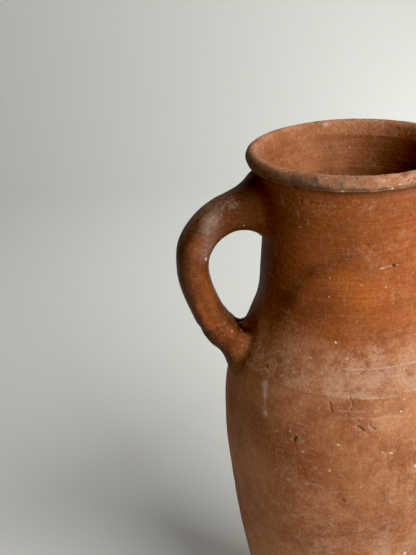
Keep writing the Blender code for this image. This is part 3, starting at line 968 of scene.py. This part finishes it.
def handle_finish(points, normals, along, theta, past, crevice):
    """Dark patina on the outer face, bare orange clay on the sides, worn pale patches, painted shade in
    the crevice by the foot, at the strap's end and over the pad, and a paler top of dust with painted
    highlight.
    """
    mottle = layered(points, 0.018, 4, 14.0)
    outward = np.cos(theta)
    side_face = 1 - smooth(0.2, 0.7, outward + 0.2 * mottle)
    # top marks the up-facing part of the upper bend, painted paler: dust and painted highlight.
    top = smooth(0.1, 0.75, normals[..., 2]) * smooth(-0.4, 0.1, along) * smooth(0.75, 0.45, along)
    soot_and_shade = 0.5 * smooth(0.05, 0.6, outward + 0.22 * mottle) * smooth(-0.9, -0.3, along) * (1 - 0.4 * top)
    soot_and_shade += 0.55 * smooth(-0.35, -0.7, along) * smooth(-0.1, 0.6, outward)
    # Painted shade in the crevice beside the foot and in the groove where the strap ends on the pad.
    soot_and_shade += 0.9 * crevice + 0.2 * bell(past, 0.02)
    burnt_and_shade = 0.8 + 0.6 * (1 - side_face) + 0.25 * smooth(0.35, -0.2, along)
    burnt_and_shade += 0.3 * smooth(0.3, 0.9, -outward) - 0.2 * smooth(0.35, 0.6, along) * side_face - 0.5 * top
    # Its last term darkens the pad as painted shade.
    burnt_and_shade += 0.25 * mottle * smooth(0.0, 0.3, along) + 0.2 * smooth(0.95, 1.3, along)
    # The upper bend is rubbed pale on both sides.
    mirrored = np.abs(points)
    rubbed = from_line(mirrored, (0.11, 0.0165, 0.488), (0.117, 0.0165, 0.462))
    worn = bell(rubbed, 0.0062) * smooth(-1.6, 0.2, mottle)
    dust_and_highlight = 0.04 + 0.44 * worn + 0.3 * bell(past + 0.03, 0.03) * smooth(-0.2, 0.5, mottle)
    dust_and_highlight += 0.5 * top * (0.7 + 0.3 * smooth(-0.6, 0.5, mottle))
    ember = 0.38 * side_face * smooth(0.3, 0.5, along)
    chipped = from_line(mirrored, (0.1165, 0.015, 0.4572), (0.116, 0.015, 0.4558))
    lime_and_highlight = 0.75 * bell(chipped, 0.0008) + 0.1 * worn
    # Painted shade in the crevice.
    pit_shade = np.clip(crevice * 1.2, 0, 1)
    slip = np.ones_like(along)
    finish = dict(soot_and_shade=soot_and_shade, dust_and_highlight=dust_and_highlight, lime_and_highlight=lime_and_highlight, ember=ember, pit_shade=pit_shade, slip=slip, burnt_and_shade=burnt_and_shade)
    wall = wall_finish(points, np.arctan2(points[..., 1], points[..., 0]), points[..., 2])
    into_wall = np.maximum(smooth(-0.55, -1.0, along), smooth(1.45, 1.95, along))
    return {key: mask + (wall[key] - mask) * into_wall for key, mask in finish.items()}


# ---------------------------------------------------------------- clay material


class Graph:
    """Adds and links the shader nodes of one material or world."""

    def __init__(self, owner):
        owner.use_nodes = True
        self.tree = owner.node_tree

    def fill(self, node, values):
        """Sets or links a node's inputs, given as (socket, value) pairs."""
        for key, value in values:
            if isinstance(value, bpy.types.NodeSocket):
                self.tree.links.new(value, node.inputs[key])
            else:
                node.inputs[key].default_value = value
        return node

    def add(self, kind, values=(), **settings):
        node = self.tree.nodes.new(kind)
        for key, value in settings.items():
            setattr(node, key, value)
        return self.fill(node, values)

    def maths(self, operation, first, second=0.0, third=0.0, clamp=False):
        values = enumerate((first, second, third))
        return self.add("ShaderNodeMath", values, operation=operation, use_clamp=clamp).outputs[0]

    def plus(self, value, layer, strength, clamp=False):
        return self.maths("MULTIPLY_ADD", layer, strength, value, clamp)

    def vary(self, value, pattern, strength):
        """A value moved up and down by a pattern that runs from 0 to 1."""
        return self.plus(value, self.maths("SUBTRACT", pattern, 0.5), strength)

    def mix(self, share, first, second, blend="MIX"):
        values = (("Factor", share), (6, first), (7, second))
        node = self.add("ShaderNodeMix", values, data_type="RGBA", blend_type=blend, clamp_factor=True)
        return node.outputs[2]

    def step(self, value, low, high, start=0.0, end=1.0):
        values = enumerate((value, low, high, start, end))
        return self.add("ShaderNodeMapRange", values, interpolation_type="SMOOTHSTEP").outputs[0]

    def noise(self, vector, scale, detail, roughness=0.55, distortion=0.0):
        sockets = ("Vector", "Scale", "Detail", "Roughness", "Distortion")
        values = zip(sockets, (vector, scale, detail, roughness, distortion))
        return self.add("ShaderNodeTexNoise", values).outputs["Fac"]

    def dots(self, vector, scale, reach, rarity):
        """Round dots in a few of a pattern's cells, picked by each cell's colour."""
        cells = self.add("ShaderNodeTexVoronoi", (("Vector", vector), ("Scale", scale)))
        split = self.add("ShaderNodeSeparateColor", ((0, cells.outputs["Color"]),))
        chosen = self.step(split.outputs[0], *rarity)
        return self.maths("MULTIPLY", self.step(cells.outputs["Distance"], 0.08, reach, 1.0, 0.0), chosen)

    def scratches(self, vector, rotation, scale, rarity):
        """Sparse fine lines: noise drawn out along one direction, kept only at its peaks."""
        values = (("Vector", vector), ("Rotation", rotation), ("Scale", scale))
        drawn = self.add("ShaderNodeMapping", values, vector_type="POINT").outputs[0]
        return self.step(self.noise(drawn, 1.0, 1.0, 0.4), rarity, rarity + 0.08)

    def grey(self, value):
        return self.add("ShaderNodeCombineColor", enumerate((value,) * 3)).outputs[0]

    def attribute(self, name, output="Fac"):
        node = self.add("ShaderNodeAttribute", attribute_name=name, attribute_type="GEOMETRY")
        return node.outputs[output]


TAN_LIGHT = (0.44, 0.190, 0.085, 1.0)
TAN_DEEP = (0.30, 0.106, 0.045, 1.0)
RED_LIGHT = (0.385, 0.118, 0.038, 1.0)
RED_DEEP = (0.265, 0.069, 0.020, 1.0)
EMBER = (0.53, 0.140, 0.024, 1.0)
CRUST = (0.66, 0.48, 0.34, 1.0)
DUST_AND_HIGHLIGHT = (0.50, 0.30, 0.19, 1.0)
# The soot and burnt colours also paint shade, the dust and lime colours also paint highlights, and the
# hollow colour is painted shade in hollows.
SOOT_AND_SHADE = (0.085, 0.045, 0.028, 1.0)
BURNT_AND_SHADE = (0.092, 0.030, 0.012, 1.0)
LIME_AND_HIGHLIGHT = (0.80, 0.73, 0.66, 1.0)
HOLLOW_SHADE = (0.020, 0.008, 0.004, 1.0)
CLAY_SPECULAR = 0.11
# Families of fine scratches: rotation, scale, rarity
SCRATCH_SETS = (
    ((0.15, 0.1, 0.0), (900.0, 900.0, 42.0), 0.665),
    ((0.8, 0.3, 0.0), (1100.0, 1100.0, 60.0), 0.68),
    ((0.03, -0.04, 0.0), (30.0, 30.0, 1000.0), 0.67),
)


def clay(name, shade, gloss, line_strength, scratch_strength, crust_strength):
    """Fired clay: mottled ground colour, turning lines, patina, dust, lime and pinholes, with painted
    shade in the soot, burnt and pit shares and painted highlights in the dust and lime shares.
    """
    material = bpy.data.materials.new(name)
    g = Graph(material)
    place = g.add("ShaderNodeTexCoord").outputs["Object"]
    broad = g.noise(place, 19.0, 6.0, 0.62, 0.3)
    patch = g.noise(place, 75.0, 6.0, 0.68, 0.5)
    fine = g.noise(place, 380.0, 4.0, 0.7)
    sand = g.noise(place, 1300.0, 2.0, 0.6)
    lines = g.noise(g.attribute("grain", "Vector"), 1.0, 4.0, 0.62)

    mottled = g.step(g.plus(g.maths("MULTIPLY", broad, 0.75), patch, 0.55), 0.46, 0.84)
    tan = g.mix(mottled, TAN_DEEP, TAN_LIGHT)
    red = g.mix(mottled, RED_DEEP, RED_LIGHT)
    ground = g.mix(g.attribute("slip"), tan, red)
    ground = g.mix(g.attribute("ember"), ground, EMBER)
    # Burnt clay and painted shade share one dark colour.
    charred_and_shaded = g.vary(g.attribute("burnt_and_shade"), patch, 0.9)
    ground = g.mix(g.step(charred_and_shaded, 0.0, 1.15, 0.0, 0.92), ground, BURNT_AND_SHADE)
    tint = shade
    for pattern, strength in ((lines, line_strength * 2.6), (patch, 0.55), (fine, 0.95), (sand, 0.55)):
        tint = g.vary(tint, pattern, strength)
    ground = g.mix(1.0, ground, g.grey(tint), "MULTIPLY")

    broken = g.maths("SUBTRACT", g.plus(g.maths("MULTIPLY", patch, 1.1), fine, 0.9), 1.0)
    # Dust and painted highlights share one pale colour.
    dusted_and_highlighted = g.vary(g.plus(g.attribute("dust_and_highlight"), broken, 1.3), sand, 1.0)
    dusted_and_highlighted = g.step(dusted_and_highlighted, 0.2, 1.05, 0.0, 0.72)
    ground = g.mix(dusted_and_highlighted, ground, DUST_AND_HIGHLIGHT)

    crust = g.step(g.noise(place, 300.0, 5.0, 0.8), 0.54, 0.66)
    crust = g.maths("MULTIPLY", crust, g.plus(0.25, dusted_and_highlighted, 1.2))
    crust = g.maths("MULTIPLY", crust, crust_strength, clamp=True)
    ground = g.mix(crust, ground, CRUST)
    grains = g.maths("MULTIPLY", g.step(sand, 0.66, 0.76), g.plus(0.1, dusted_and_highlighted, 0.7))
    ground = g.mix(grains, ground, LIME_AND_HIGHLIGHT)
    scratches = 0.0
    for rotation, scale, rarity in SCRATCH_SETS:
        scratches = g.maths("MAXIMUM", g.scratches(place, rotation, scale, rarity), scratches)
    ground = g.mix(g.maths("MULTIPLY", scratches, scratch_strength), ground, DUST_AND_HIGHLIGHT)

    # Soot and painted shade share one dark colour.
    sooted_and_shaded = g.step(g.plus(g.attribute("soot_and_shade"), broken, 0.75), 0.1, 0.95, 0.0, 0.88)
    ground = g.mix(sooted_and_shaded, ground, SOOT_AND_SHADE)
    chips = g.dots(place, 230.0, 0.24, (0.955, 0.985))
    # Lime and the painted highlights on ridges share one colour.
    limed_and_highlighted = g.maths("ADD", g.attribute("lime_and_highlight"), g.maths("MULTIPLY", chips, 0.4), clamp=True)
    ground = g.mix(limed_and_highlighted, ground, LIME_AND_HIGHLIGHT)
    # Painted shade in pits, cracks, the handle crevice and small pinholes.
    holes = g.plus(g.attribute("pit_shade"), g.dots(place, 330.0, 0.26, (0.9, 0.95)), 0.6, True)
    ground = g.mix(g.maths("MULTIPLY", holes, 0.9), ground, HOLLOW_SHADE)
    rough = g.plus(g.vary(gloss, patch, 0.4), dusted_and_highlighted, 0.25, True)

    height = g.maths("MULTIPLY", lines, 2.2 * line_strength)
    layers = ((patch, 1.2), (crust, 1.5), (fine, 0.9), (sand, 0.5), (holes, -1.6), (chips, 0.7))
    for layer, strength in layers:
        height = g.plus(height, layer, strength)
    bump = g.add("ShaderNodeBump", (("Strength", 0.7), ("Distance", 0.0004), ("Height", height)))
    surface = (("Base Color", ground), ("Roughness", rough), ("Normal", bump.outputs[0]))
    g.fill(g.tree.nodes["Principled BSDF"], (*surface, ("Specular IOR Level", CLAY_SPECULAR)))
    return material


# ---------------------------------------------------------------- build the object

# For each clay: shade, roughness, strength of its lines, of its scratches and of its crust
LOOKS = {
    "body_clay": (1.02, 0.66, 0.14, 0.3, 0.6),
    "band_clay": (0.96, 0.76, 0.14, 0.25, 0.6),
    "shoulder_clay": (0.96, 0.62, 0.2, 0.22, 0.6),
    "neck_clay": (0.94, 0.54, 0.28, 0.16, 0.48),
    "rim_clay": (0.98, 0.68, 0.14, 0.08, 1.45),
    "handle_clay": (0.9, 0.5, 0.26, 0.0, 0.35),
    # The pad's low shade is partly painted shade from the handle over it.
    "pad_clay": (0.8, 0.58, 0.16, 0.0, 0.45),
    "gusset_clay": (0.92, 0.5, 0.26, 0.0, 0.3),
}
CLAYS = {name: clay(name, *look) for name, look in LOOKS.items()}


def place(piece, slot, node):
    piece.data.materials.append(CLAYS[slot])
    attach(piece, "root")
    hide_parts(node)


place(build_lower_body(), "body_clay", "lower_body")
place(build_band(), "band_clay", "joining_band")
place(build_shoulder(), "shoulder_clay", "shoulder")
place(build_neck(), "neck_clay", "neck")
place(build_rim(), "rim_clay", "rim")
for side_name, side in (("left", -1), ("right", 1)):
    root_piece, strap_piece, pad_piece = build_handle(side, side_name)
    place(root_piece, "gusset_clay", f"handle_{side_name}_top_gusset")
    place(strap_piece, "handle_clay", f"handle_{side_name}")
    place(pad_piece, "pad_clay", f"handle_{side_name}_foot_pad")

# ---------------------------------------------------------------- stage, light, camera

TOE = 0.009
FLOOR_COLOUR = (0.84, 0.85, 0.82, 1.0)
ROOM_COLOUR = (1.0, 0.96, 0.92, 1.0)
BEYOND_COLOUR = (0.56, 0.565, 0.545, 1.0)
CAMERA_PLACE = Vector((-0.17886, -0.58503, 0.70621))
CAMERA_FORWARD = Vector((0.09968, 0.90247, -0.41905))
CAMERA_UP = Vector((0.10938, 0.40866, 0.90611))
CAMERA_LENS = 54.1


def build_stage():
    """Plain pale floor that curves up into a backdrop behind the jar."""
    ahead = Vector((CAMERA_FORWARD.x, CAMERA_FORWARD.y, 0)).normalized()
    aside = Vector((ahead.y, -ahead.x, 0))
    reach, sweep, top, half_width = 1.5, 0.9, 3.5, 4.0
    profile = [(-3.0, 0.0), (reach, 0.0)]
    for a in np.linspace(0.1, math.pi / 2, 14):
        profile.append((reach + sweep * math.sin(a), sweep - sweep * math.cos(a)))
    profile.append((reach + sweep, top))
    across = (-half_width, half_width)
    vertices = [ahead * d + aside * w + Vector((0, 0, h)) for d, h in profile for w in across]
    faces = [(2 * i, 2 * i + 1, 2 * i + 3, 2 * i + 2) for i in range(len(profile) - 1)]
    mesh = bpy.data.meshes.new("floor")
    mesh.from_pydata(vertices, [], faces)
    mesh.shade_smooth()
    material = bpy.data.materials.new("pale_floor")
    g = Graph(material)
    surface = (("Base Color", FLOOR_COLOUR), ("Roughness", 0.95), ("Specular IOR Level", 0.1))
    g.fill(g.tree.nodes["Principled BSDF"], surface)
    mesh.materials.append(material)
    linked("floor", mesh)


def area_light(name, way, distance, size, power, colour, target=(0.0, 0.0, 0.40)):
    """Soft square panel at an azimuth and elevation from its target, which it faces."""
    light = bpy.data.lights.new(name, "AREA")
    light.size = size
    light.energy = power
    light.color = colour
    lamp = linked(name, light)
    azimuth, elevation = (math.radians(angle) for angle in way)
    level = math.cos(elevation)
    out = Vector((math.cos(azimuth) * level, math.sin(azimuth) * level, math.sin(elevation)))
    lamp.location = Vector(target) + distance * out
    lamp.rotation_euler = (-out).to_track_quat("-Z", "Y").to_euler()


def build_light():
    area_light("window", (-56, 38), 2.2, 1.6, 69, (1.0, 0.985, 0.96))
    area_light("backdrop_light", (0, 50), 1.0, 0.6, 8.2, (1.0, 1.0, 0.98), (0.44, 1.14, 0.1))
    world = bpy.data.worlds.new("room")
    g = Graph(world)
    dim = g.fill(g.tree.nodes["Background"], (("Color", ROOM_COLOUR), ("Strength", 0.05)))
    # Beyond the floor the room looks as pale as the floor does.
    pale = g.add("ShaderNodeBackground", (("Color", BEYOND_COLOUR),))
    seen = g.add("ShaderNodeLightPath").outputs["Is Camera Ray"]
    mix = g.add("ShaderNodeMixShader", ((0, seen), (1, dim.outputs[0]), (2, pale.outputs[0])))
    g.fill(g.tree.nodes["World Output"], (("Surface", mix.outputs[0]),))
    bpy.context.scene.world = world
    view = bpy.context.scene.view_settings
    view.view_transform = "Standard"
    # A slight toe, as a camera gives, deepens the shadow side.
    view.use_curve_mapping = True
    view.curve_mapping.black_level = (TOE, TOE, TOE)
    view.curve_mapping.update()


def build_camera():
    """Camera at the photograph's viewing angle: above the rim, turned and rolled a little."""
    data = bpy.data.cameras.new("camera")
    data.sensor_width = 36.0
    data.lens = CAMERA_LENS
    data.clip_start = 0.01
    camera = linked("camera", data)
    right = CAMERA_FORWARD.cross(CAMERA_UP).normalized()
    up = right.cross(CAMERA_FORWARD).normalized()
    turn = Matrix((right, up, -CAMERA_FORWARD.normalized())).transposed()
    camera.matrix_world = Matrix.Translation(CAMERA_PLACE) @ turn.to_4x4()
    bpy.context.scene.camera = camera


build_stage()
build_light()
build_camera()
